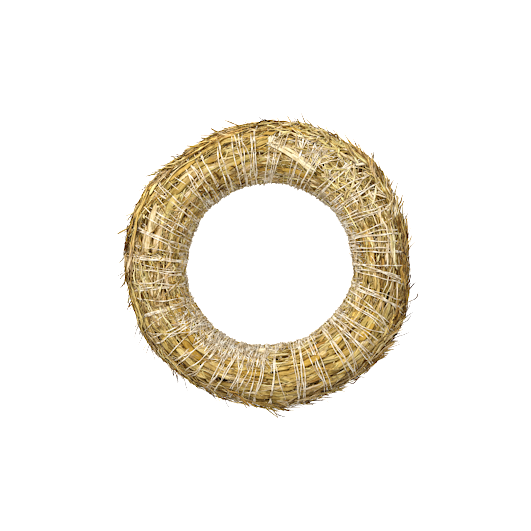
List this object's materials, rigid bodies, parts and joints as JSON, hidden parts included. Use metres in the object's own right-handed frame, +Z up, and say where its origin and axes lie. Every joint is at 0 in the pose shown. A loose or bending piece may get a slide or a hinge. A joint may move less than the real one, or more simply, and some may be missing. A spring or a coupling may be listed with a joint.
{
  "type": "straw wreath",
  "caption": "Round ring of dry straw pressed into a thick roll with a flat underside, bound tight all the way round by a spiral of pale thread.",
  "frame": {"origin": "middle of the flat underside, on the ring's own axis", "axes": "+Z up along the ring's axis as it lies flat, +X to the right and +Y to the top as seen from above"},
  "size_m": [0.3003, 0.3101, 0.059],
  "materials": {
    "straw": "dry golden straw, matte in the gaps with a soft satin sheen along each stalk",
    "thread": "thin smooth twisted thread, cream white with a slight sheen"
  },
  "bodies": {
    "root": {"straw_ring": "straw", "binding_thread": "thread"}
  },
  "joints": []
}
